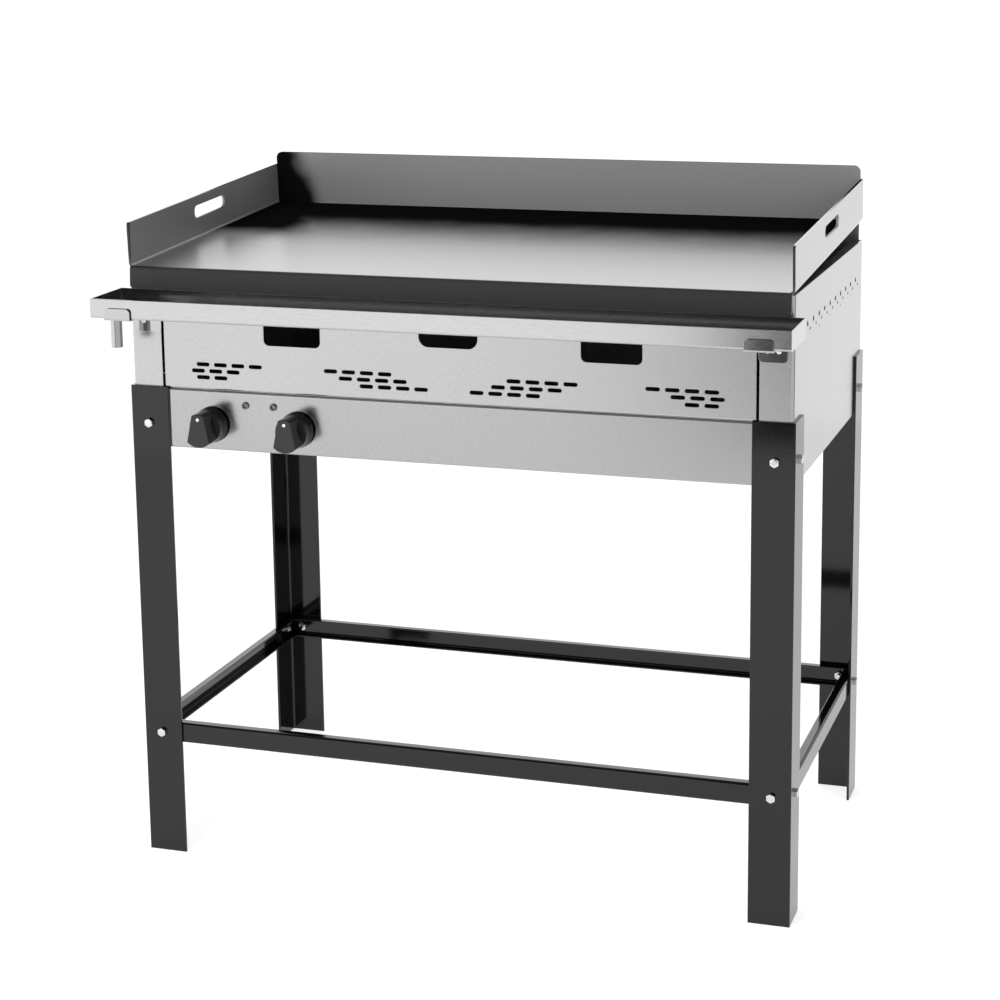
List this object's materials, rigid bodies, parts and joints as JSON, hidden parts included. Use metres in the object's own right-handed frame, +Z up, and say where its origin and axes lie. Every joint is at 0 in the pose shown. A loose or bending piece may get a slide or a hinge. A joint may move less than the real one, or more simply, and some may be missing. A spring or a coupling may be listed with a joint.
{
  "type": "gas burger griddle with stand",
  "caption": "Gas griddle: sloping steel plate with high walls on a stainless casing with burners, grease tray and two turn-and-push valves, bolted to a black angle-iron stand.",
  "frame": {"origin": "on the floor, in the middle of the overall width and depth", "axes": "+Z up, front with the knobs and tray towards -Y, +X to the right of a cook standing in front"},
  "size_m": [0.843, 0.5376, 0.8439],
  "materials": {
    "stainless_sheet": "brushed stainless",
    "galvanised_sheet": "galvanised",
    "black_paint": "gloss black enamel",
    "zinc_plate": "bright zinc",
    "dark_steel": "blackened screw steel",
    "brass": "turned brass",
    "feed_tube": "drawn tube",
    "burner_steel": "plain",
    "spring_steel": "ground",
    "knob_plastic": "matte black",
    "pointer_white": "white",
    "griddle_steel": "dark satin rolled steel"
  },
  "bodies": {
    "stand_and_casing": {"side_panel_left": "stainless_sheet", "side_panel_right": "stainless_sheet", "upper_front_panel": "stainless_sheet", "control_panel": "stainless_sheet", "tray_hook_left": "stainless_sheet", "tray_hook_right": "stainless_sheet", "back_panel": "galvanised_sheet", "heat_shield": "galvanised_sheet", "manifold_bracket": "galvanised_sheet", "burner_bracket_left": "galvanised_sheet", "burner_bracket_right": "galvanised_sheet", "injector_bracket": "galvanised_sheet", "manifold_pipe": "galvanised_sheet", "manifold_cap": "galvanised_sheet", "leg_front_left": "black_paint", "leg_front_right": "black_paint", "leg_rear_left": "black_paint", "leg_rear_right": "black_paint", "rail_front": "black_paint", "rail_rear": "black_paint", "rail_left": "black_paint", "rail_right": "black_paint", "leg_bolts": "zinc_plate", "leg_nuts": "zinc_plate", "rail_bolts": "zinc_plate", "rail_nuts": "zinc_plate", "hook_rivets": "zinc_plate", "control_panel_screws": "dark_steel", "gas_inlet": "brass", "injector_front": "brass", "injector_rear": "brass", "valve_body_left": "brass", "valve_body_right": "brass", "valve_cap_left": "brass", "valve_cap_right": "brass", "feed_tube_left": "feed_tube", "feed_tube_right": "feed_tube", "burner_front": "burner_steel", "burner_rear": "burner_steel"},
    "griddle_plate": {"griddle_plate": "griddle_steel"},
    "grease_tray": {"grease_tray": "stainless_sheet", "drain_spout": "stainless_sheet"},
    "valve_plug_left": {"valve_plug_left": "brass"},
    "knob_left": {"knob_left": "knob_plastic", "valve_stem_left": "spring_steel", "knob_dot_left": "pointer_white", "stem_spring_left": "spring_steel"},
    "valve_plug_right": {"valve_plug_right": "brass"},
    "knob_right": {"knob_right": "knob_plastic", "valve_stem_right": "spring_steel", "knob_dot_right": "pointer_white", "stem_spring_right": "spring_steel"}
  },
  "joints": [
    {"name": "plate_lift", "type": "slide", "parent": "stand_and_casing", "child": "griddle_plate", "axis": [0, 0, 1], "range_m": [0, 0.15]},
    {"name": "tray_slide", "type": "slide", "parent": "stand_and_casing", "child": "grease_tray", "axis": [-1, 0, 0], "range_m": [0, 0.05]},
    {"name": "valve_turn_left", "type": "hinge", "parent": "stand_and_casing", "child": "valve_plug_left", "pos_m": [-0.306, -0.16525, 0.559], "axis": [0, -1, 0], "range_deg": [0, 180]},
    {"name": "knob_push_left", "type": "slide", "parent": "valve_plug_left", "child": "knob_left", "axis": [0, 1, 0], "range_m": [0, 0.003], "stiffness_N_per_m": 1500, "springref_m": -0.003, "deforming": ["stem_spring_left"]},
    {"name": "valve_turn_right", "type": "hinge", "parent": "stand_and_casing", "child": "valve_plug_right", "pos_m": [-0.1935, -0.16525, 0.559], "axis": [0, -1, 0], "range_deg": [0, 180]},
    {"name": "knob_push_right", "type": "slide", "parent": "valve_plug_right", "child": "knob_right", "axis": [0, 1, 0], "range_m": [0, 0.003], "stiffness_N_per_m": 1500, "springref_m": -0.003, "deforming": ["stem_spring_right"]}
  ]
}
